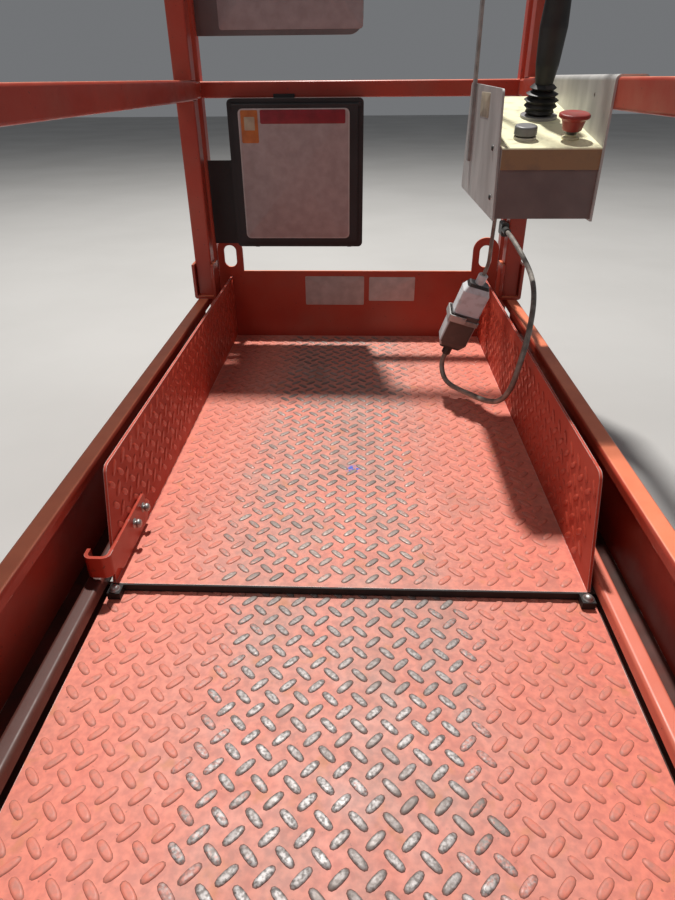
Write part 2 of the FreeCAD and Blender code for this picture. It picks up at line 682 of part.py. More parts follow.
def make_notice_plate():
    left, right = -inner_rail_face_x, -inner_rail_face_x + notice_width
    top = top_rail_z - half_inner
    bottom = top - notice_height
    front_s = extension_length + half_inner
    save("notice_plate", along([(left, bottom, 0), (right, bottom, notice_corner), (right, top, 0),
                                (left, top, 0)], front_s, front_s + sheet))


def make_holder():
    back_s = extension_length
    case = rounded_block(holder_left_x, holder_right_x, holder_front_s, back_s, holder_bottom_z,
                         holder_top_z, holder_corner)
    hollow = block(holder_left_x + holder_rim, holder_right_x - holder_rim, holder_front_s,
                   back_s - holder_wall, holder_bottom_z + holder_rim, holder_top_z - holder_rim)
    arm_right_x = holder_left_x + holder_rim
    arm_top_z = holder_bottom_z + holder_arm_height
    root_z = arm_top_z + 2 * holder_corner
    arm = along([(-inner_rail_face_x, holder_bottom_z, 0), (arm_right_x, holder_bottom_z, 0),
                 (arm_right_x, root_z, 0), (holder_left_x, root_z, 0),
                 (holder_left_x, arm_top_z, holder_corner), (-inner_rail_face_x, arm_top_z, 0)],
                back_s - holder_wall, back_s)
    clip_x = holder_left_x + holder_clip_from_left
    clip = block(clip_x - holder_clip_width / 2, clip_x + holder_clip_width / 2, back_s - holder_wall, back_s,
                 holder_top_z - holder_wall, holder_top_z + holder_clip_height)
    lid_left, lid_right = holder_left_x + lid_margin, holder_right_x - lid_margin
    fittings = [arm, clip]
    for from_left in holder_feet_from_left:
        foot_x = holder_left_x + from_left
        fittings.append(block(foot_x - holder_foot_width / 2, foot_x + holder_foot_width / 2,
                              back_s - holder_depth / 2, back_s - holder_wall,
                              holder_bottom_z - holder_foot_drop, holder_bottom_z + holder_wall))
    for ear_x, pin_x in ((lid_left - lid_ear - slide_gap, lid_left - lid_ear),
                         (lid_right + slide_gap, lid_right - lid_pin_depth)):
        fittings.append(block(ear_x, ear_x + lid_ear, lid_hinge_s - lid_hinge_radius, holder_front_s,
                              lid_hinge_z - lid_hinge_radius, lid_hinge_z + lid_hinge_radius))
        fittings.append(cylinder(lid_pin_radius, spot(pin_x, lid_hinge_s, lid_hinge_z), rightward,
                                 lid_ear + lid_pin_depth))
    save("manual_holder", case.cut(hollow).fuse(fittings).removeSplitter())

    lid_bottom_z = holder_bottom_z + lid_margin
    lid = along([(lid_left, lid_bottom_z, lid_corner), (lid_right, lid_bottom_z, lid_corner),
                 (lid_right, lid_hinge_z, 0), (lid_left, lid_hinge_z, 0)],
                lid_hinge_s - lid_thickness / 2, lid_hinge_s + lid_thickness / 2)
    barrel = cylinder(lid_hinge_radius, spot(lid_left, lid_hinge_s, lid_hinge_z), rightward,
                      lid_right - lid_left)
    bore = cylinder(lid_pin_radius + hinge_running_gap, spot(lid_left, lid_hinge_s, lid_hinge_z),
                    rightward, lid_right - lid_left)
    save("manual_lid", lid.fuse(barrel).cut(bore).removeSplitter())


# Control box: folded case with a sloping panel, two guard plates, hooks on the mid rail and a hanger bar
# to the top rail.
box_right_x = rail_face_x
box_left_x = box_right_x - box_width
box_front_s = tray_front - box_setback
box_rear_s = box_front_s - box_length
box_bottom_z = mid_rail_z - box_drop
panel_rear_z = box_bottom_z + panel_rear_height
panel_front_z = panel_rear_z + box_length * panel_slope
rail_top_z = mid_rail_z + half_rail


def make_control_case():
    low_x, high_x = box_left_x + box_sheet, box_right_x - box_sheet
    under = panel_sheet * math.hypot(1, panel_slope)
    inner_s = box_rear_s + panel_sheet
    case = [(inner_s, box_bottom_z, 0), (box_front_s, box_bottom_z, 0),
            (box_front_s, panel_front_z - under, 0),
            (inner_s, panel_rear_z + panel_sheet * panel_slope - under, panel_bend)]
    save("control_case", across(case, low_x, high_x))
    skin = [spot(low_x, box_rear_s, panel_rear_z - panel_lip), spot(low_x, box_rear_s, panel_rear_z),
            spot(low_x, box_front_s, panel_front_z)]
    panel = bent_sheet(skin, panel_sheet, panel_bend, rightward * (high_x - low_x))
    save("control_panel", panel.common(block(low_x, high_x, box_rear_s, box_front_s, box_bottom_z,
                                             panel_front_z)))


def make_guard_plates():
    low_z = box_bottom_z - guard_lap
    rear_s, front_s = box_rear_s - guard_margin, box_front_s + guard_margin
    left = [(box_rear_s + guard_foot_inset, low_z, 0), (front_s + guard_flare, low_z, guard_corner),
            (front_s, low_z + guard_front_height, guard_corner),
            (box_rear_s + guard_rear_inset, low_z + guard_rear_height, guard_corner)]
    save("guard_plate_left", across(left, box_left_x, box_left_x + box_sheet))

    hook_top = rail_top_z + box_sheet
    hook_out_x = rail_x + half_rail + box_sheet
    skin = [spot(x, rear_s, z) for x, z in (
        (box_right_x - box_sheet, low_z), (box_right_x - box_sheet, hook_top), (hook_out_x, hook_top),
        (hook_out_x, hook_top - rail_hook_drop))]
    plate = bent_sheet(skin, box_sheet, tube_corner, forward * (front_s - rear_s))
    sight_s, sight_down = sight_hole_spot
    sight_hole = cylinder(sight_hole_radius, spot(box_right_x - box_sheet, box_rear_s + sight_s,
                                                  rail_top_z - sight_down), rightward, box_sheet)
    save("guard_plate_right", plate.cut(sight_hole))


def make_hanger():
    outer_x = rail_x + half_rail + hanger_thickness
    top_z = top_rail_z + half_rail + hanger_thickness
    s = box_front_s - hanger_from_front - hanger_width / 2
    skin = [spot(x, s, z) for x, z in ((box_left_x - hanger_thickness, box_bottom_z + hanger_foot),
                                       (box_left_x - hanger_thickness, top_z), (outer_x, top_z),
                                       (outer_x, top_z - hanger_drop))]
    save("box_hanger", bent_sheet(skin, hanger_thickness, hanger_bend, forward * hanger_width))


def turned(rows, place_on_panel):
    """Turn (radius, height, corner radius) rows about the panel's normal at a place on the panel."""
    across_box, along_box = place_on_panel
    face = outline([(Vector(radius, 0, height), corner) for radius, height, corner in rows])
    solid = face.revolve(Vector(0, 0, 0), up, 360)
    base = spot(box_left_x + across_box, box_rear_s + along_box, panel_rear_z + along_box * panel_slope)
    tilt = FreeCAD.Rotation(rightward, math.degrees(math.atan(panel_slope)))
    solid.Placement = FreeCAD.Placement(base, tilt)
    return solid


def make_controls():
    save("stop_button", turned(stop_rows, stop_spot))
    save("selector_knob", turned(knob_rows, knob_spot))
    save("joystick_grip", turned(grip_rows, stick_spot))
    pitch = (boot_top - boot_flange_height) / len(boot_radii)
    rows = [(0, 0, 0), (boot_flange_radius, 0, 0), (boot_flange_radius, boot_flange_height, 0)]
    for fold, radius in enumerate(boot_radii):
        height = boot_flange_height + fold * pitch
        rows += [(radius - boot_neck, height, 0), (radius, height + pitch / 2, 0)]
    rows += [(boot_radii[-1] - boot_neck, boot_top, 0), (0, boot_top, 0)]
    save("joystick_boot", turned(rows, stick_spot))


# Cords: straight runs joined by tangent arcs, with their glands. The connector's two ends are fixed first.
def hung(x, s, share):
    """Point beside the control box, at a share of the height from the extension deck up to the box."""
    return spot(rail_face_x + x, box_front_s + s, extension_top + share * (box_bottom_z - extension_top))


plug_start, plug_end = hung(*plug_bottom), hung(*plug_top)
plug_axis = (plug_end - plug_start).normalize()


def cord_tube(name, points, diameter):
    radii = []
    for before, corner, after in zip(points, points[1:], points[2:]):
        reach = bend_share * min((corner - before).Length, (after - corner).Length)
        half_turn = (math.pi - (before - corner).getAngle(after - corner)) / 2
        radii.append(reach / math.tan(half_turn))
    path = Part.Wire(open_path(points, radii))
    profile = Part.Wire(Part.makeCircle(diameter / 2, points[0], points[1] - points[0]))
    tube = path.makePipeShell([profile], True, False)
    ideal = math.pi * diameter ** 2 / 4 * path.Length
    print(name, "radii", [round(radius) for radius in radii], "length", round(path.Length, 1),
          "volume share", round(tube.Volume / ideal, 4))
    print(name, "points", [tuple(round(value, 2) for value in point) for point in points])
    save(name, tube)


def make_cords():
    outlet_s = front_post_s - outlet_length / 2
    outlet_z = bracket_top + outlet_above_bracket
    leaving = spot(rail_face_x - outlet_depth / 2, outlet_s - outlet_gland_length, outlet_z)
    cable = [leaving, leaving - forward * cable_first_run] + [hung(*point) for point in cable_route]
    cable += [plug_start - plug_axis * (plug_gland_length + last_run),
              plug_start - plug_axis * plug_gland_length]
    exit_x, exit_s = pigtail_exit
    under_box = spot(rail_face_x + exit_x, box_front_s + exit_s, box_bottom_z - box_gland_length)
    pigtail = [under_box, under_box - up * pigtail_first_run] + [hung(*point) for point in pigtail_route]
    pigtail += [plug_end + plug_axis * (plug_gland_length + last_run),
                plug_end + plug_axis * plug_gland_length]
    cord_tube("platform_cable", cable, cable_diameter)
    cord_tube("box_pigtail", pigtail, pigtail_diameter)
    outlet = rounded_block(rail_face_x - outlet_depth, rail_face_x, outlet_s, outlet_s + outlet_length,
                           outlet_z - outlet_height / 2, outlet_z + outlet_height / 2, outlet_corner)
    gland = cylinder(gland_radius, leaving, forward, outlet_gland_length)
    box_gland = cylinder(gland_radius, under_box, up, box_gland_length)
    save("cord_glands", outlet.fuse(gland).removeSplitter(), box_gland)


# Connector: two hoods along one axis, each with a rim at the joint, a narrowed end and a gland. A lever
# bent round the joint has its arms on the hoods' broad sides.
def hood_face(inset, height):
    x, y = plug_width / 2 - inset, plug_depth / 2 - inset
    return outline([(Vector(a * x, b * y, height), plug_corner)
                    for a, b in ((-1, -1), (1, -1), (1, 1), (-1, 1))])


def hood(inset, length):
    """A hood with its open end at Z = 0 and its gland at the top."""
    shoulder_z = length - plug_shoulder
    rim = hood_face(inset - rim_step, 0).extrude(up * rim_height)
    body = hood_face(inset, 0).extrude(up * shoulder_z)
    wide, narrow = hood_face(inset, shoulder_z), hood_face(inset + plug_neck, length)
    neck = Part.makeLoft([wide.OuterWire, narrow.OuterWire], True, True)
    gland = cylinder(plug_gland_radius, Vector(0, 0, length), up, plug_gland_length)
    return rim.fuse([body, neck, gland]).removeSplitter()


def make_connector():
    length = (plug_end - plug_start).Length
    split = length * plug_split
    upper_pose = FreeCAD.Placement(plug_start + plug_axis * split, FreeCAD.Rotation(up, plug_axis))
    lower_pose = upper_pose.multiply(FreeCAD.Placement(Vector(0, 0, 0), FreeCAD.Rotation(rightward, 180)))
    for name, pose, inset, part_length in (("connector_lower", lower_pose, 0, split),
                                           ("connector_upper", upper_pose, plug_step, length - split)):
        half = hood(inset, part_length)
        half.Placement = pose
        save(name, half)

    back_x = plug_width / 2 + rim_step + lever_wall
    side_y = plug_depth / 2 + rim_step + lever_wall
    low = -lever_width / 2
    skin = [Vector(x, y, low) for x, y in ((lever_reach - back_x, -side_y), (-back_x, -side_y),
                                           (-back_x, side_y), (lever_reach - back_x, side_y))]
    lever = bent_sheet(skin, lever_wall, lever_bend, up * lever_width)
    pegs = [cylinder(peg_radius, Vector(lever_reach - back_x - peg_radius, start, 0), forward, peg_length)
            for start in (side_y - lever_wall, lever_wall - side_y - peg_length)]
    lever = lever.fuse(pegs).removeSplitter()
    lever.Placement = upper_pose
    save("connector_lever", lever)


make_underframe()
make_tray()
make_side_guardrails()
make_rear_frame()
make_gate()
make_gate_hinges()
make_extension_deck()
make_toe_board()
make_extension_rails()
make_stop_hook()
make_notice_plate()
make_holder()
make_control_case()
make_guard_plates()
make_hanger()
make_controls()
make_cords()
make_connector()
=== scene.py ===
import math

import bpy
import numpy as np
from mathutils import Matrix, Vector


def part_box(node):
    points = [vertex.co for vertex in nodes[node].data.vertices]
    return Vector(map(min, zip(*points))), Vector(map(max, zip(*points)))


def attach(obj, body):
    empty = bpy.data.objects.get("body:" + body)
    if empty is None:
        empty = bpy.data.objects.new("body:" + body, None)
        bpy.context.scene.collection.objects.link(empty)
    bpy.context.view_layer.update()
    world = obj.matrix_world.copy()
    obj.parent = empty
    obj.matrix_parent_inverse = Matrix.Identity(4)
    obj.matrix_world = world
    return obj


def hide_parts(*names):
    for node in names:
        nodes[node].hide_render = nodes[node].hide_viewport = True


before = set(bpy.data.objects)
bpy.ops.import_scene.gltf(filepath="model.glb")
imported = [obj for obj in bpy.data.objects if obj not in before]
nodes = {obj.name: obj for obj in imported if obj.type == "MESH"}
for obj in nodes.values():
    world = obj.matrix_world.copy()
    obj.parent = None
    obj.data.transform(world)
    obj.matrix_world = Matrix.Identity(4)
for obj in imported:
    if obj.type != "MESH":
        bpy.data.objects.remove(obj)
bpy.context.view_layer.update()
scene = bpy.context.scene
seamY = -0.1445          # where the extension deck starts; s in the CAD source is Y - seamY
chance = np.random.default_rng(7)


# Camera: the photo's own, found from the vanishing points of the deck and the posts.
cameraLook = {"place": (0.0130, -0.7725, 0.6680), "pitch": 30.447, "yaw": 2.368, "roll": 0.502,
              "focalPixels": 632.5, "longSidePixels": 900.0, "sensor": 36.0, "nearest": 0.02}


def makeCamera():
    data = bpy.data.cameras.new("camera")
    data.sensor_width = cameraLook["sensor"]
    data.lens = cameraLook["sensor"] * cameraLook["focalPixels"] / cameraLook["longSidePixels"]
    data.clip_start = cameraLook["nearest"]
    camera = bpy.data.objects.new("camera", data)
    pitch, yaw, roll = (math.radians(cameraLook[key]) for key in ("pitch", "yaw", "roll"))
    turn = (Matrix.Rotation(yaw, 4, "Z") @ Matrix.Rotation(math.pi / 2 - pitch, 4, "X")
            @ Matrix.Rotation(-roll, 4, "Z"))
    camera.matrix_world = Matrix.Translation(cameraLook["place"]) @ turn
    scene.collection.objects.link(camera)
    scene.camera = camera


makeCamera()
scene.view_settings.view_transform = "Standard"
print("camera ready")


# Shader helpers. A value given to a socket is either a number, a colour or another node's output.
def plug(material, socket, value):
    if isinstance(value, bpy.types.NodeSocket):
        material.node_tree.links.new(value, socket)
    else:
        socket.default_value = value


def shaderNode(material, kind, inputs=None, **settings):
    made = material.node_tree.nodes.new(kind)
    for key, value in settings.items():
        setattr(made, key, value)
    for socket, value in (inputs or {}).items():
        plug(material, made.inputs[socket], value)
    return made


def newMaterial(name):
    material = bpy.data.materials.new(name)
    material.use_nodes = True
    return material, material.node_tree.nodes["Principled BSDF"]


def objectPlace(material):
    return shaderNode(material, "ShaderNodeTexCoord").outputs["Object"]


def coordinate(material, axis):
    return shaderNode(material, "ShaderNodeSeparateXYZ", {0: objectPlace(material)}).outputs[axis]


def noise(material, scale, detail=4.0, stretch=(1, 1, 1)):
    mapped = shaderNode(material, "ShaderNodeMapping", {"Vector": objectPlace(material), "Scale": stretch})
    inputs = {"Vector": mapped.outputs["Vector"], "Scale": scale, "Detail": detail}
    return shaderNode(material, "ShaderNodeTexNoise", inputs).outputs["Fac"]


# From bottom, where the value is low, to top, where it is high.
def remap(material, value, low, high, bottom=0.0, top=1.0):
    inputs = {"Value": value, "From Min": low, "From Max": high, "To Min": bottom, "To Max": top}
    return shaderNode(material, "ShaderNodeMapRange", inputs).outputs["Result"]


# Noise remapped in the same way. The larger lower is, the more of it lies above high.
def noiseMask(material, scale, low, high, detail=4.0, stretch=(1, 1, 1), bottom=0.0, top=1.0, lower=0.0):
    value = noise(material, scale, detail, stretch)
    return remap(material, value, low - lower, high - lower, bottom, top)


def maths(material, operation, *values):
    return shaderNode(material, "ShaderNodeMath", dict(enumerate(values)), operation=operation).outputs[0]


def mixColour(material, share, first, second):
    mixed = shaderNode(material, "ShaderNodeMix", data_type="RGBA")
    for index, value in ((0, share), (6, first), (7, second)):   # factor, then the two colours
        plug(material, mixed.inputs[index], value)
    return mixed.outputs[2]


def dot(material, first, second):
    return shaderNode(material, "ShaderNodeVectorMath", {0: first, 1: second},
                      operation="DOT_PRODUCT").outputs["Value"]


# 1 where the surface faces the way of a direction, and 0 where it turns from it.
def facing(material, direction, low, high):
    normal = shaderNode(material, "ShaderNodeTexCoord").outputs["Normal"]
    return remap(material, dot(material, normal, direction), low, high)


def grain(material, surface, scale, strength):
    inputs = {"Height": noise(material, scale, detail=3.0), "Strength": strength, "Distance": 0.001}
    bump = shaderNode(material, "ShaderNodeBump", inputs)
    plug(material, surface.inputs["Normal"], bump.outputs["Normal"])


# Roughness wanders with noise from rough - less to rough + more.
def roughen(material, surface, scale, rough, less, more):
    wander = noiseMask(material, scale, low=0.3, high=0.7, bottom=rough - less, top=rough + more)
    plug(material, surface.inputs["Roughness"], wander)


# 1 on a sharp edge and 0 elsewhere: how far the rounded normal turns from the true one, by its cosine.
def edgeShare(material, radius, flat=0.97, sharp=0.90):
    rounded = shaderNode(material, "ShaderNodeBevel", {"Radius": radius}, samples=4).outputs["Normal"]
    true = shaderNode(material, "ShaderNodeNewGeometry").outputs["Normal"]
    return remap(material, dot(material, rounded, true), flat, sharp)


# Paint: two reds mixed by broad noise, under dust in patches and brown specks. Its edges are rubbed to bare
# steel in places, and in more of them where edge is larger.
paintLook = {"speckTone": (0.085, 0.030, 0.020, 1), "wornTone": (0.66, 0.60, 0.57, 1), "wornMetal": 0.5,
             "edgeRadius": 0.0014, "upFacing": (0.80, 0.96),
             "wander": {"scale": 30.0, "less": 0.08, "more": 0.10},
             "grain": {"scale": 240.0, "strength": 0.08}}
paintNoise = {"reds": {"scale": 4.0, "low": 0.35, "high": 0.65},
              "dust": {"scale": 11.0, "detail": 9.0, "low": 0.45, "high": 0.75},
              "specks": {"scale": 160.0, "detail": 3.0, "low": 0.70, "high": 0.74, "top": 0.75},
              "edges": {"scale": 30.0, "detail": 5.0, "low": 0.64, "high": 0.70},
              "upper": {"scale": 18.0, "detail": 6.0, "low": 0.30, "high": 0.60, "bottom": 0.75}}


def paintLayers(material, surface, light, deep, dust, dirt, edge, rough):
    red = mixColour(material, noiseMask(material, **paintNoise["reds"]), light, deep)
    dusty = mixColour(material, noiseMask(material, **paintNoise["dust"], top=dirt), red, dust)
    spotted = mixColour(material, noiseMask(material, **paintNoise["specks"]), dusty, paintLook["speckTone"])
    broken = noiseMask(material, **paintNoise["edges"], lower=edge)
    rubbed = maths(material, "MULTIPLY", edgeShare(material, paintLook["edgeRadius"]), broken)
    plug(material, surface.inputs["Metallic"], maths(material, "MULTIPLY", rubbed, paintLook["wornMetal"]))
    roughen(material, surface, rough=rough, **paintLook["wander"])
    grain(material, surface, **paintLook["grain"])
    return spotted, rubbed


# Faces that look up get their own tone: lighter, it is a painted highlight from above; darker, painted
# shade.
def makePaint(name, upper, **look):
    material, surface = newMaterial(name)
    colour, rubbed = paintLayers(material, surface, **look)
    upward = maths(material, "MULTIPLY", facing(material, (0, 0, 1), *paintLook["upFacing"]),
                   noiseMask(material, **paintNoise["upper"]))
    paintedTopLightShade = mixColour(material, upward, colour, upper)
    plug(material, surface.inputs["Base Color"], mixColour(material, rubbed, paintedTopLightShade, paintLook["wornTone"]))
    return material


# Deck paint: the paint above, greyed by feet within half of the middle, mottled, tinted with rust, stained,
# and scuffed blue in one spot. Where side plates stand above the deck they have their own reds.
deckTones = {"light": (0.74, 0.225, 0.160, 1), "deep": (0.66, 0.172, 0.117, 1),
             "dust": (0.54, 0.27, 0.205, 1)}
deckLook = {"walked": (0.42, 0.285, 0.240, 1), "pathInside": 0.04, "pathOutside": 0.11,
            "fresh": (0.92, 0.305, 0.220, 1), "dull": (0.50, 0.165, 0.140, 1), "mottleShare": 0.35,
            "rust": (0.55, 0.215, 0.085, 1), "stain": (0.26, 0.16, 0.13, 1),
            "scuff": (0.07, 0.13, 0.52, 1), "scuffPlace": (0.0013, 0.1495, 0.088),
            "scuffRadii": (0.008, 0.015), "sideFrom": (0.0885, 0.0905), "specular": 0.35}
deckNoise = {"steps": {"scale": 15.0, "detail": 9.0, "stretch": (1, 0.6, 1), "low": 0.34, "high": 0.66,
                       "bottom": 0.30, "top": 0.95},
             "mottles": {"scale": 120.0, "detail": 6.0, "low": 0.38, "high": 0.62},
             "rust": {"scale": 34.0, "detail": 7.0, "low": 0.60, "high": 0.70, "top": 0.45},
             "stains": {"scale": 7.0, "detail": 6.0, "stretch": (1.6, 0.7, 1), "low": 0.60, "high": 0.78,
                        "top": 0.55},
             "scuff": {"scale": 190.0, "low": 0.42, "high": 0.50},
             "sides": {"scale": 8.0, "low": 0.35, "high": 0.65}}
sideTones = ((0.52, 0.075, 0.041, 1), (0.40, 0.046, 0.025, 1))


def makeDeckPaint(name, middle, half, **look):
    material, surface = newMaterial(name)
    colour, rubbed = paintLayers(material, surface, **deckTones, **look)
    masks = {key: noiseMask(material, **spread) for key, spread in deckNoise.items()}
    off = maths(material, "ABSOLUTE", maths(material, "SUBTRACT", coordinate(material, "X"), middle))
    path = remap(material, off, half - deckLook["pathInside"], half + deckLook["pathOutside"], 1.0, 0.0)
    walked = maths(material, "MULTIPLY", path, masks["steps"])
    greyed = mixColour(material, walked, colour, deckLook["walked"])
    fine = mixColour(material, masks["mottles"], deckLook["fresh"], deckLook["dull"])
    mottled = mixColour(material, deckLook["mottleShare"], greyed, fine)
    tinted = mixColour(material, masks["rust"], mottled, deckLook["rust"])
    stained = mixColour(material, masks["stains"], tinted, deckLook["stain"])
    ends = {0: objectPlace(material), 1: deckLook["scuffPlace"]}
    apart = shaderNode(material, "ShaderNodeVectorMath", ends, operation="DISTANCE").outputs["Value"]
    near = remap(material, apart, *deckLook["scuffRadii"], 1.0, 0.0)
    blue = maths(material, "MULTIPLY", near, masks["scuff"])
    scuffed = mixColour(material, blue, stained, deckLook["scuff"])
    side = mixColour(material, masks["sides"], *sideTones)
    standing = remap(material, coordinate(material, "Z"), *deckLook["sideFrom"])
    painted = mixColour(material, standing, scuffed, side)
    worn = mixColour(material, rubbed, painted, paintLook["wornTone"])
    plug(material, surface.inputs["Base Color"], worn)
    plug(material, surface.inputs["Specular IOR Level"], deckLook["specular"])
    return material


# Two tones mixed by noise, with a fine grain: plastic, steel, rubber, the cords' sheath, the plates and the
# floor.
plainNoise = {"low": 0.35, "high": 0.65, "detail": 6.0}
fineGrain = {"scale": 300.0, "strength": 0.05}


def makePlain(name, first, second, scale, rough, metal=0.0, stretch=(1, 1, 1), spread=0.06):
    material, surface = newMaterial(name)
    share = noiseMask(material, scale, stretch=stretch, **plainNoise)
    plug(material, surface.inputs["Base Color"], mixColour(material, share, first, second))
    wander = remap(material, share, 0.0, 1.0, rough - spread, rough + spread)
    plug(material, surface.inputs["Roughness"], wander)
    plug(material, surface.inputs["Metallic"], metal)
    grain(material, surface, **fineGrain)
    return material


# As above, but the tones change with the height above a plane: the sloping control panel, or one across the
# connector's lower end. Above the base tone, a band is its height and tone, and a third value is its tone on
# the connector's broad front face, which is painted shade.
panelPlane = {"normal": (0.0, -0.1676, 0.9859), "level": 0.5438}
plugPlane = {"normal": (0.2871, -0.2256, 0.9311), "level": 0.1176}
bandLook = {"blur": 0.0003, "front": (-0.0335, -0.9736, -0.2256), "frontFacing": (0.72, 0.92),
            "grime": (0.13, 0.10, 0.085, 1),
            "grimeNoise": {"scale": 55.0, "detail": 7.0, "low": 0.52, "high": 0.78, "top": 0.5},
            "wander": {"scale": 60.0, "less": 0.07, "more": 0.09}}


def makeBanded(name, plane, rough, base, bands):
    material, surface = newMaterial(name)
    along = dot(material, objectPlace(material), plane["normal"])
    colour = base
    for height, tone, *broad in bands:
        if broad:
            front = facing(material, bandLook["front"], *bandLook["frontFacing"])
            tone = mixColour(material, front, tone, broad[0])
        level = plane["level"] + height
        past = remap(material, along, level - bandLook["blur"], level + bandLook["blur"])
        colour = mixColour(material, past, colour, tone)
    grimy = mixColour(material, noiseMask(material, **bandLook["grimeNoise"]), colour, bandLook["grime"])
    plug(material, surface.inputs["Base Color"], grimy)
    roughen(material, surface, rough=rough, **bandLook["wander"])
    grain(material, surface, **fineGrain)
    return material


bodyTones = {"light": (0.44, 0.054, 0.028, 1), "deep": (0.33, 0.034, 0.018, 1),
             "dust": (0.30, 0.125, 0.085, 1)}
trackTones = {"light": (0.72, 0.200, 0.130, 1), "deep": (0.62, 0.145, 0.090, 1),
              "dust": (0.42, 0.20, 0.15, 1)}
# The left track's tones are painted shade: dark all over, standing in for the shadow that lies over that
# track.
trackShadeTones = {"light": (0.115, 0.036, 0.027, 1), "deep": (0.075, 0.024, 0.018, 1),
               "dust": (0.12, 0.070, 0.055, 1)}

# Red paint's upper tone is a painted highlight from above, with some fading, on faces that look up.
redPaint = makePaint("red_paint", (0.84, 0.245, 0.125, 1), **bodyTones, dirt=0.30, edge=0.10, rough=0.36)
hookPaint = makePaint("hook_paint", bodyTones["light"], **bodyTones, dirt=0.30, edge=0.14, rough=0.36)
# The tray floor's upper tone is painted shade: its faces that look up are nearly black.
trayPaint = makePaint("tray_paint", (0.060, 0.026, 0.020, 1), **bodyTones,
                      dirt=0.45, edge=0.10, rough=0.46)
# The track's upper tone is a little lighter: a painted highlight from above.
trackPaint = makePaint("track_paint", (0.76, 0.215, 0.145, 1), **trackTones,
                       dirt=0.45, edge=0.16, rough=0.42)
# Painted shade for the left track: its whole paint is dark.
shadedTrackPaint = makePaint("painted_shade_track", (0.085, 0.030, 0.023, 1), **trackShadeTones,
                        dirt=0.5, edge=0.0, rough=0.50)
mainDeckPaint = makeDeckPaint("main_deck_paint", middle=0.0, half=0.15, dirt=0.45, edge=0.16, rough=0.56)
slidingDeckPaint = makeDeckPaint("sliding_deck_paint", middle=-0.03, half=0.17, dirt=0.45, edge=0.30,
                                 rough=0.56)

steel = makePlain("bare_steel", (0.46, 0.45, 0.44, 1), (0.27, 0.26, 0.25, 1), scale=40.0, rough=0.46,
                  metal=0.85)
guardGrey = makePlain("guard_grey", (0.52, 0.515, 0.50, 1), (0.37, 0.365, 0.355, 1), scale=24.0, rough=0.42,
                      metal=0.15, stretch=(1, 1, 0.35))
boxGrey = makePlain("box_grey", (0.178, 0.140, 0.134, 1), (0.128, 0.100, 0.097, 1), scale=16.0, rough=0.42)
slidePlastic = makePlain("slide_plastic", (0.005, 0.004, 0.004, 1), (0.012, 0.010, 0.010, 1), scale=30.0,
                         rough=0.72)
blackRubber = makePlain("black_rubber", (0.008, 0.008, 0.009, 1), (0.018, 0.017, 0.016, 1), scale=50.0,
                        rough=0.50)
cableSheath = makePlain("cable_sheath", (0.29, 0.265, 0.230, 1), (0.14, 0.125, 0.110, 1), scale=60.0,
                        rough=0.5)
glandDark = makePlain("gland_dark", (0.022, 0.024, 0.022, 1), (0.05, 0.05, 0.046, 1), scale=60.0,
                      rough=0.45)
holderDark = makePlain("holder_dark", (0.009, 0.0085, 0.010, 1), (0.020, 0.018, 0.020, 1), scale=14.0,
                       rough=0.50)
noticeGrey = makePlain("notice_grey", (0.165, 0.135, 0.135, 1), (0.125, 0.10, 0.10, 1), scale=12.0,
                       rough=0.45)

# Below its top, on the front lip, the panel's base tone is tan-brown: painted shade with some dirt.
panelCream = makeBanded("panel_cream", panelPlane, rough=0.45, base=(0.27, 0.170, 0.088, 1), bands=(
    (-0.0022, (0.82, 0.79, 0.53, 1)),))
stopRed = makeBanded("stop_red", panelPlane, rough=0.40, base=(0.60, 0.56, 0.38, 1), bands=(
    (0.006, (0.05, 0.045, 0.04, 1)),
    (0.011, (0.30, 0.028, 0.022, 1)),
    (0.0475, (0.46, 0.17, 0.15, 1))))
knobGrey = makeBanded("knob_grey", panelPlane, rough=0.45, base=(0.62, 0.60, 0.52, 1), bands=(
    (0.004, (0.02, 0.02, 0.02, 1)),
    (0.006, (0.17, 0.17, 0.175, 1))))
bootRubber = makeBanded("boot_rubber", panelPlane, rough=0.50, base=(0.28, 0.28, 0.29, 1), bands=(
    (0.0042, (0.010, 0.010, 0.011, 1)),))
# The hoods' third tones are painted shade: darker on the broad front face than on the other faces.
upperHood = makeBanded("upper_hood", plugPlane, rough=0.40, base=(0.075, 0.070, 0.070, 1), bands=(
    (0.1006, (0.68, 0.71, 0.73, 1), (0.60, 0.67, 0.73, 1)),
    (0.1585, (0.025, 0.025, 0.025, 1)),
    (0.1645, (0.68, 0.71, 0.73, 1), (0.60, 0.66, 0.71, 1))))
lowerHood = makeBanded("lower_hood", plugPlane, rough=0.42, base=(0.016, 0.016, 0.015, 1), bands=(
    (0.024, (0.56, 0.57, 0.58, 1), (0.072, 0.058, 0.053, 1)),
    (0.0822, (0.44, 0.43, 0.42, 1), (0.30, 0.28, 0.26, 1))))

nodeFinish = {     # every other node has the red paint
    "main_deck": mainDeckPaint, "extension_deck": slidingDeckPaint, "slide_track_left": shadedTrackPaint,
    "slide_track_right": trackPaint, "tray_floor": trayPaint, "stop_hook": hookPaint,
    "front_wear_strip": slidePlastic, "rear_wear_strip": slidePlastic, "runner_pads": slidePlastic,
    "gate_hinge_leaves": steel, "post_hinge_leaves": steel, "runner_left": steel, "runner_right": steel,
    "control_case": boxGrey, "control_panel": panelCream, "guard_plate_left": guardGrey,
    "guard_plate_right": guardGrey, "box_hanger": steel, "stop_button": stopRed, "selector_knob": knobGrey,
    "joystick_boot": bootRubber, "joystick_grip": blackRubber, "cord_glands": glandDark,
    "connector_lower": lowerHood, "connector_upper": upperHood, "connector_lever": guardGrey,
    "manual_holder": holderDark, "manual_lid": holderDark, "notice_plate": noticeGrey,
}


def paintNodes():
    for name, node in nodes.items():
        finish = nodeFinish.get(name, redPaint)
        for index in range(len(node.data.materials)):
            node.data.materials[index] = finish


paintNodes()
print("materials ready")


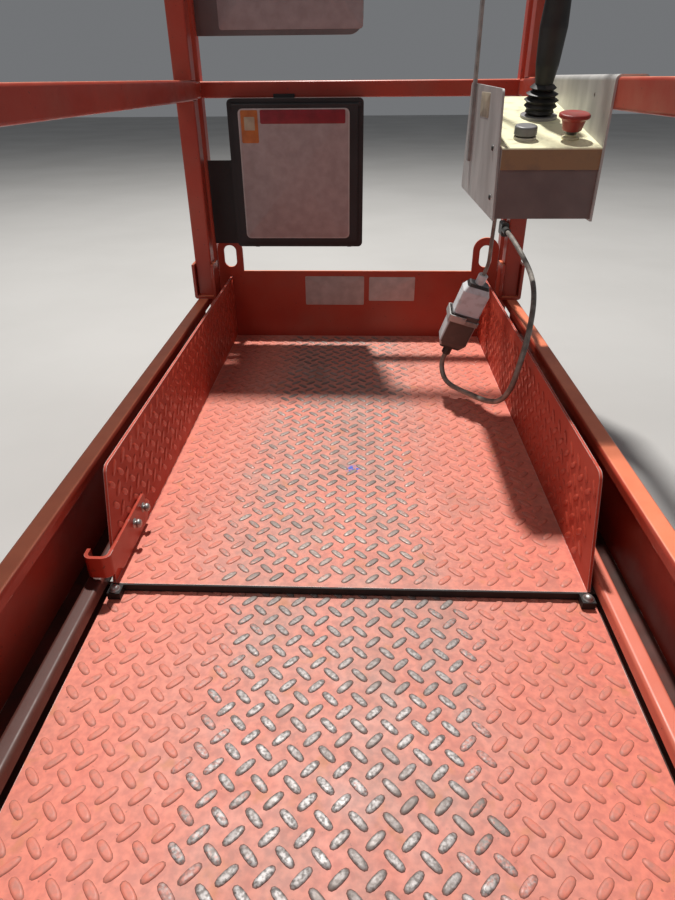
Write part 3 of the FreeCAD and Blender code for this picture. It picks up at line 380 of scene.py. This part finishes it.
# Cords: quadratic curves whose control points are the CAD routes, in metres.
cordRoutes = {
    "platformCable": {
        "points": ((0.333, 0.6885, 0.371), (0.333, 0.6525, 0.371), (0.337, 0.6075, 0.36204),
                   (0.343, 0.5555, 0.34794), (0.345, 0.4975, 0.33504), (0.340, 0.4405, 0.32496),
                   (0.330, 0.3855, 0.31408), (0.317, 0.3335, 0.29917), (0.303, 0.2905, 0.27217),
                   (0.290, 0.2665, 0.23509), (0.281, 0.2615, 0.19318), (0.270, 0.2795, 0.15691),
                   (0.253, 0.3155, 0.13797), (0.231, 0.3605, 0.12991), (0.201, 0.4085, 0.12508),
                   (0.187, 0.4395, 0.12709), (0.181, 0.4575, 0.142), (0.18109, 0.46407, 0.16143),
                   (0.18683, 0.45956, 0.18005)),
        "diameter": 0.010, "length": 0.794, "node": "platform_cable",
        "pieces": ("connector_lower", "connector_lever")},
    "boxPigtail": {
        "points": ((0.240, 0.3755, 0.475), (0.240, 0.3755, 0.456), (0.240, 0.3795, 0.43418),
                   (0.241, 0.3875, 0.41201), (0.243, 0.3995, 0.38985), (0.24491, 0.41393, 0.3684),
                   (0.23917, 0.41844, 0.34978)),
        "diameter": 0.007, "length": 0.1354, "node": "box_pigtail", "pieces": ("connector_upper",)},
}


def makeCords():
    for name, route in cordRoutes.items():
        curve = bpy.data.curves.new(name, "CURVE")
        curve.dimensions = "3D"
        curve.bevel_depth = route["diameter"] / 2
        curve.bevel_resolution = 5
        curve.resolution_u = 10
        curve.use_fill_caps = True
        points = np.array(route["points"])
        spline = curve.splines.new("NURBS")
        spline.points.add(len(points) - 1)
        spline.points.foreach_set("co", np.hstack([points, np.ones((len(points), 1))]).ravel())
        spline.order_u = 3
        spline.use_endpoint_u = True
        curve.materials.append(cableSheath)
        piece = bpy.data.objects.new(name, curve)
        scene.collection.objects.link(piece)
        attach(piece, "platform")
        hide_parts(route["node"])


makeCords()
print("cords ready")


# Room: a plain pale floor, a main lamp above and ahead, a weak wide one behind, and a pale sky.
roomLook = {
    "floorHalf": 14.0, "floorTones": ((0.46, 0.455, 0.445, 1), (0.42, 0.415, 0.405, 1)),
    "sky": (0.93, 0.96, 1.0, 1), "skyStrength": 0.18, "lampTint": (1.0, 0.97, 0.93),
    "lamps": {"key": {"place": (-0.28, 2.02, 4.60), "aim": (0.0, 0.1, 0.1), "size": 0.20, "power": 315.0},
              "fill": {"place": (-1.8, -2.0, 3.4), "aim": (0.0, -0.1, 0.2), "size": 1.6, "power": 20.0}}}


def makeRoom():
    floorPale = makePlain("floor_pale", *roomLook["floorTones"], scale=1.5, rough=0.75)
    half = roomLook["floorHalf"]
    mesh = bpy.data.meshes.new("floor")
    mesh.from_pydata([(-half, -half, 0), (half, -half, 0), (half, half, 0), (-half, half, 0)], [],
                     [(0, 1, 2, 3)])
    mesh.materials.append(floorPale)
    floor = bpy.data.objects.new("floor", mesh)
    scene.collection.objects.link(floor)
    world = bpy.data.worlds.new("studio")
    world.use_nodes = True
    background = world.node_tree.nodes["Background"]
    background.inputs["Color"].default_value = roomLook["sky"]
    background.inputs["Strength"].default_value = roomLook["skyStrength"]
    scene.world = world
    for name, look in roomLook["lamps"].items():
        data = bpy.data.lights.new(name, "AREA")
        data.size = look["size"]
        data.energy = look["power"]
        data.color = roomLook["lampTint"]
        lamp = bpy.data.objects.new(name, data)
        lamp.location = look["place"]
        lamp.rotation_mode = "QUATERNION"
        aim = Vector(look["aim"]) - Vector(look["place"])
        lamp.rotation_quaternion = aim.to_track_quat("-Z", "Y")
        scene.collection.objects.link(lamp)


makeRoom()
print("room ready")


# Mesh helpers.
def meshPiece(name, points, faces, material, body):
    mesh = bpy.data.meshes.new(name)
    mesh.from_pydata(points.tolist(), [], [face for group in faces for face in group.tolist()])
    mesh.materials.append(material)
    mesh.polygons.foreach_set("use_smooth", [True] * len(mesh.polygons))
    piece = bpy.data.objects.new(name, mesh)
    scene.collection.objects.link(piece)
    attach(piece, body)
    return piece


# Quads between neighbouring rows of a grid whose last column joins its first.
def ringFaces(rows, columns):
    row, column = np.meshgrid(np.arange(rows - 1), np.arange(columns), indexing="ij")
    after = (column + 1) % columns
    corners = (row * columns + column, (row + 1) * columns + column, (row + 1) * columns + after,
               row * columns + after)
    return np.stack(corners, axis=-1).reshape(-1, 4)


# The same faces for each of count copies of a shape.
def repeated(faces, pointCount, count):
    return (faces[None] + np.arange(count)[:, None, None] * pointCount).reshape(-1, faces.shape[1])


# Two unit vectors across a normal, and the normal itself, as rows.
def axesFor(normal):
    normal = np.array(normal, float)
    normal = normal / np.linalg.norm(normal)
    side = np.cross((0.0, 0.0, 1.0) if abs(normal[2]) < 0.9 else (0.0, 1.0, 0.0), normal)
    side = side / np.linalg.norm(side)
    return np.array([side, np.cross(normal, side), normal])


# Checker-plate lugs: rows leaning one way and the other in turn. A lug is a lens with a flat top: on ring
# r at angle a it lies at (half length x r x cos a, half width x r x sin a), with each cosine and sine raised
# to a power that squares the lens a little, and its height falls in a steep bevel from the top to the plate
# at r = 1. The first lug stands at startX and startS, and reach is how many pitches are tried each way.
lugLook = {"pitchX": 0.0322, "pitchY": 0.0332, "startX": -0.0168, "startS": -0.2978, "reach": 60,
           "lean": 46.0, "halfLength": 0.0128, "halfWidth": 0.0049, "height": 0.0013, "sink": 0.0002,
           "angles": 12, "rings": (0.45, 0.78, 0.95, 1.0), "heights": (1.0, 0.96, 0.20, 0.0),
           "rims": (0.0, 0.0, 1.0, 1.0), "square": 0.80, "spareShare": 0.75, "chance": 0.05}


def lugShape(lean):
    angle = np.linspace(0, 2 * np.pi, lugLook["angles"], endpoint=False)
    ring = np.array(lugLook["rings"])[:, None]
    along = np.sign(np.cos(angle)) * np.abs(np.cos(angle)) ** lugLook["square"] * lugLook["halfLength"]
    across = np.sign(np.sin(angle)) * np.abs(np.sin(angle)) ** lugLook["square"] * lugLook["halfWidth"]
    turn = math.radians(lean)
    x = ring * (along * math.cos(turn) - across * math.sin(turn))
    y = ring * (along * math.sin(turn) + across * math.cos(turn))
    top = np.array(lugLook["heights"])[:, None] * (lugLook["height"] + lugLook["sink"]) - lugLook["sink"]
    return np.stack([x, y, top + np.zeros_like(x)], axis=-1).reshape(-1, 3)


# Lug: paint rubbed to mottled steel where attribute 'rub' and noise are high, with dirt and painted shade
# where 'rim' is 1.
# The steel greys in patches, and from one Y to another where fade gives them.
topTones = ((0.66, 0.21, 0.15, 1), (0.50, 0.20, 0.155, 1))
dullTone = (0.20, 0.165, 0.15, 1)
lugFinishes = {
    "lug_bright": {
        "top": topTones, "bare": ((0.47, 0.45, 0.445, 1), (0.15, 0.140, 0.135, 1)), "metal": 0.22,
        "rough": 0.44, "outline": (0.17, 0.075, 0.055, 1), "rimShare": (0.50, 0.92), "fade": (-0.42, -0.16)},
    "lug_dull": {
        "top": topTones, "bare": ((0.40, 0.34, 0.31, 1), (0.27, 0.215, 0.19, 1)), "metal": 0.25,
        "rough": 0.42, "outline": (0.20, 0.085, 0.06, 1), "rimShare": (0.40, 0.75)},
    "lug_side": {
        "top": sideTones, "bare": ((0.42, 0.20, 0.17, 1), (0.30, 0.12, 0.10, 1)), "metal": 0.2,
        "rough": 0.26, "outline": (0.10, 0.014, 0.009, 1), "rimShare": (0.35, 0.60)},
}
lugWear = {"rubScale": 330.0, "rubNoise": 0.5, "rubRange": (0.66, 0.88), "fadeMost": 0.75, "rimFull": 0.6,
           "wander": {"scale": 140.0, "less": 0.0, "more": 0.14}}
lugNoise = {"steel": {"scale": 260.0, "detail": 5.0, "low": 0.42, "high": 0.60},
            "grey": {"scale": 13.0, "detail": 5.0, "low": 0.42, "high": 0.66},
            "paint": {"scale": 200.0, "low": 0.40, "high": 0.70}}


def makeLugMaterial(name, top, bare, metal, rough, outline, rimShare, fade=None):
    material, surface = newMaterial(name)
    masks = {key: noiseMask(material, **spread) for key, spread in lugNoise.items()}
    rub, rim = (shaderNode(material, "ShaderNodeAttribute", attribute_name=key).outputs["Fac"]
                for key in ("rub", "rim"))
    uneven = maths(material, "MULTIPLY", noise(material, lugWear["rubScale"]), lugWear["rubNoise"])
    rubbed = remap(material, maths(material, "ADD", rub, uneven), *lugWear["rubRange"])
    mottled = mixColour(material, masks["steel"], *bare)
    greyness = masks["grey"]
    if fade:
        ahead = remap(material, coordinate(material, "Y"), *fade, 0.0, lugWear["fadeMost"])
        greyness = maths(material, "MAXIMUM", greyness, ahead)
    dull = mixColour(material, greyness, mottled, dullTone)
    painted = mixColour(material, masks["paint"], *top)
    colour = mixColour(material, rubbed, painted, dull)
    # The outline at each lug's foot is dirt and painted shade.
    rimDirtAndShade = maths(material, "MULTIPLY", rim, remap(material, rub, 0.0, lugWear["rimFull"], *rimShare))
    plug(material, surface.inputs["Base Color"], mixColour(material, rimDirtAndShade, colour, outline))
    plug(material, surface.inputs["Metallic"], maths(material, "MULTIPLY", rubbed, metal))
    plug(material, surface.inputs["Specular IOR Level"], deckLook["specular"])
    roughen(material, surface, rough=rough, **lugWear["wander"])
    return material


# Lugs on a plane through origin, along the unit vectors first and second, within the spans. Attribute 'rub'
# is share / (1 + exp((|x - middle| - half) / soft)) with the band's values, and some chance.
def makeLugs(name, body, material, origin, first, second, spans, band):
    normal = np.cross(first, second)
    faces = ringFaces(len(lugLook["rings"]), lugLook["angles"])
    cap = np.arange(lugLook["angles"])[None]
    points, rubs = [], []
    spare = lugLook["spareShare"] * lugLook["halfLength"]     # from a lug's middle to the patch's edge
    for lean, offset in ((-lugLook["lean"], 0.0), (lugLook["lean"], 0.5)):
        step = np.arange(-lugLook["reach"], lugLook["reach"] + 1) + offset
        x = lugLook["startX"] + step * lugLook["pitchX"]
        y = lugLook["startS"] + step * lugLook["pitchY"]
        x = x[(x > spans[0][0] + spare) & (x < spans[0][1] - spare)]
        y = y[(y > spans[1][0] + spare) & (y < spans[1][1] - spare)]
        x, y = (grid.ravel() for grid in np.meshgrid(x, y))
        place = np.array(origin) + x[:, None] * np.array(first) + y[:, None] * np.array(second)
        shape = lugShape(lean)
        local = shape[:, :1] * np.array(first) + shape[:, 1:2] * np.array(second) + shape[:, 2:] * normal
        points.append(place[:, None, :] + local[None])
        walked = 1 / (1 + np.exp((np.abs(x - band["middle"]) - band["half"]) / band["soft"]))
        worn = np.clip(band["share"] * walked + chance.normal(0.0, lugLook["chance"], len(x)), 0, 1)
        rubs.append(np.repeat(worn[:, None], len(shape), axis=1))
    points, rubs = np.concatenate(points), np.concatenate(rubs)
    count, pointCount = points.shape[:2]
    groups = (repeated(faces, pointCount, count), repeated(cap, pointCount, count))
    piece = meshPiece(name, points.reshape(-1, 3), groups, material, body)
    rims = np.tile(np.repeat(lugLook["rims"], lugLook["angles"]), count)
    for key, values in (("rub", rubs.ravel()), ("rim", rims)):
        piece.data.attributes.new(key, "FLOAT", "POINT").data.foreach_set("value", values)


# Where the lugs lie. The main deck's lugs stop short of its front, and the side plates' of their raked rear
# edges. A band is where feet or boxes have rubbed them.
deckDress = {"slidingTop": 0.088, "sideThickness": 0.004, "mainEdge": 0.001, "mainFront": 0.022,
             "sideEdge": 0.004, "sideRear": 0.040,
             "mainBand": {"middle": 0.0, "half": 0.165, "soft": 0.028, "share": 0.80},
             "slidingBand": {"middle": -0.03, "half": 0.17, "soft": 0.035, "share": 0.72},
             "sideBand": {"middle": 0.12, "half": 0.03, "soft": 0.01, "share": 0.25}}


def dressDecks():
    main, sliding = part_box("main_deck"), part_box("extension_deck")
    bright, dull, shaded = (makeLugMaterial(name, **look) for name, look in lugFinishes.items())
    across, along, up = (1, 0, 0), (0, 1, 0), (0, 0, 1)
    half = main[1].x - deckDress["mainEdge"]
    front = main[1].y - seamY - deckDress["mainFront"]
    makeLugs("main_deck_lugs", "platform", bright, (0, seamY, main[1].z), across, along,
             ((-half, half), (main[0].y - seamY, front)), deckDress["mainBand"])
    top = deckDress["slidingTop"]
    inner = sliding[1].x - deckDress["sideThickness"]
    front = sliding[1].y - seamY
    makeLugs("extension_deck_lugs", "extension", dull, (0, seamY, top), across, along,
             ((-inner, inner), (0.0, front)), deckDress["slidingBand"])
    height = sliding[1].z - top
    spans = ((deckDress["sideEdge"], height - deckDress["sideEdge"]), (deckDress["sideRear"], front))
    makeLugs("side_lugs_right", "extension", shaded, (inner, seamY, top), up, along, spans,
             deckDress["sideBand"])
    makeLugs("side_lugs_left", "extension", shaded, (-inner, seamY, top + height), (0, 0, -1), along, spans,
             deckDress["sideBand"])


dressDecks()
print("lugs ready")


# Bolts and screws: a profile of (radius, height) rows turned about the given direction, so that a point at
# angle a is (radius x cos a, radius x sin a, height) along its axes.
boltProfiles = {
    "dome": ((0.0002, 0.0056), (0.0026, 0.0053), (0.0046, 0.0043), (0.0058, 0.0026), (0.0061, 0.0010),
             (0.0074, 0.0008), (0.0075, 0.0)),
    "stud": ((0.0002, 0.0108), (0.0030, 0.0104), (0.0053, 0.0090), (0.0064, 0.0066), (0.0062, 0.0044),
             (0.0038, 0.0040), (0.0037, 0.0014), (0.0072, 0.0012), (0.0073, 0.0)),
    "screw": ((0.0002, 0.0024), (0.0028, 0.0022), (0.0040, 0.0012), (0.0042, 0.0)),
}
boltSets = {
    "hook_bolts": {
        "body": "extension", "profile": "stud", "direction": (1, 0, 0), "material": steel,
        "places": ((-0.3065, -0.0215, 0.1242), (-0.3065, -0.0608, 0.1245))},
    "seam_bolts": {
        "body": "extension", "profile": "dome", "direction": (0, 0, 1), "material": steel,
        "places": ((-0.3090, -0.1560, 0.0880), (0.3090, -0.1560, 0.0880))},
    "guard_screws": {
        "body": "platform", "profile": "screw", "direction": (-1, 0, 0), "material": glandDark,
        "places": ((0.2000, 0.4777, 0.5608), (0.2000, 0.2460, 0.5792), (0.2000, 0.2285, 0.5152))},
}


def makeBolts(sides=20):
    angle = np.linspace(0, 2 * np.pi, sides, endpoint=False)
    for name, look in boltSets.items():
        radius, height = np.array(boltProfiles[look["profile"]]).T
        turned = np.stack([radius[:, None] * np.cos(angle), radius[:, None] * np.sin(angle),
                           height[:, None] + 0 * angle], axis=-1).reshape(-1, 3)
        local = turned @ axesFor(look["direction"])
        points = np.array(look["places"])[:, None, :] + local[None]
        faces = repeated(ringFaces(len(radius), sides), len(local), len(look["places"]))
        meshPiece(name, points.reshape(-1, 3), (faces,), look["material"], look["body"])


makeBolts()
print("bolts ready")


# Blank plates and stickers: rounded rectangles. The rim is walked once by angle; each corner is a quarter
# circle about its own centre, and the rows go from the middle, over the face, to the edge.
towardsRear = (0, -1, 0)
plateLook = {
    "toe_plate_left": {
        "body": "extension", "middle": (-0.0555, 0.8025, 0.2068), "normal": towardsRear,
        "size": (0.147, 0.072), "corner": 0.003, "tones": ((0.50, 0.42, 0.40, 1), (0.40, 0.33, 0.31, 1))},
    "toe_plate_right": {
        "body": "extension", "middle": (0.0875, 0.8025, 0.2112), "normal": towardsRear,
        "size": (0.114, 0.060), "corner": 0.003, "tones": ((0.55, 0.47, 0.45, 1), (0.44, 0.37, 0.35, 1))},
    "lid_rim": {
        "body": "manual_lid", "middle": (-0.1385, 0.7575, 0.4790), "normal": towardsRear,
        "size": (0.241, 0.269), "corner": 0.010, "tones": ((0.50, 0.43, 0.42, 1), (0.42, 0.36, 0.35, 1))},
    "lid_plate": {
        "body": "manual_lid", "middle": (-0.1385, 0.7571, 0.4790), "normal": towardsRear,
        "size": (0.235, 0.263), "corner": 0.008, "tones": ((0.40, 0.31, 0.305, 1), (0.33, 0.25, 0.245, 1))},
    "lid_orange": {
        "body": "manual_lid", "middle": (-0.2348, 0.7567, 0.5785), "normal": towardsRear,
        "size": (0.037, 0.064), "corner": 0.003, "tones": ((0.50, 0.15, 0.030, 1), (0.38, 0.10, 0.02, 1))},
    "lid_cream": {
        "body": "manual_lid", "middle": (-0.2348, 0.7563, 0.5845), "normal": towardsRear,
        "size": (0.023, 0.026), "corner": 0.002, "tones": ((0.46, 0.38, 0.27, 1), (0.36, 0.28, 0.20, 1))},
    "lid_red": {
        "body": "manual_lid", "middle": (-0.1190, 0.7567, 0.5975), "normal": towardsRear,
        "size": (0.184, 0.027), "corner": 0.003,
        "tones": ((0.25, 0.012, 0.022, 1), (0.18, 0.009, 0.016, 1))},
    "notice_sheet": {
        "body": "extension", "middle": (-0.1435, 0.8185, 0.9300), "normal": towardsRear,
        "size": (0.304, 0.345), "corner": 0.006, "tones": ((0.36, 0.30, 0.31, 1), (0.30, 0.245, 0.25, 1))},
    "guard_label": {
        "body": "platform", "middle": (0.2000, 0.3500, 0.6310), "normal": (-1, 0, 0),
        "size": (0.080, 0.034), "corner": 0.003, "tones": ((0.42, 0.37, 0.27, 1), (0.32, 0.28, 0.20, 1))},
}


def plateShape(size, corner, thickness=0.0004, bevel=0.0006, steps=5):
    width, height = size
    quarter = np.linspace(0, np.pi / 2, steps)
    angle = (np.arange(4)[:, None] * np.pi / 2 + quarter).ravel()
    centres = np.stack([np.repeat([1, -1, -1, 1], steps) * (width / 2 - corner),
                        np.repeat([1, 1, -1, -1], steps) * (height / 2 - corner)], axis=-1)
    bend = np.stack([np.cos(angle), np.sin(angle)], axis=-1)
    rows = ((centres * 0, thickness), (centres + (corner - bevel) * bend, thickness),
            (centres + corner * bend, 0.5 * thickness), (centres + corner * bend, 0.0))
    points = np.concatenate([np.column_stack([flat, np.full(len(flat), z)]) for flat, z in rows])
    return points, ringFaces(len(rows), len(angle))


def makePlates():
    for name, look in plateLook.items():
        shape, faces = plateShape(look["size"], look["corner"])
        points = np.array(look["middle"]) + shape @ axesFor(look["normal"])
        material = makePlain(name, *look["tones"], scale=45.0, rough=0.42)
        meshPiece(name, points, (faces,), material, look["body"])


makePlates()
print("plates ready")
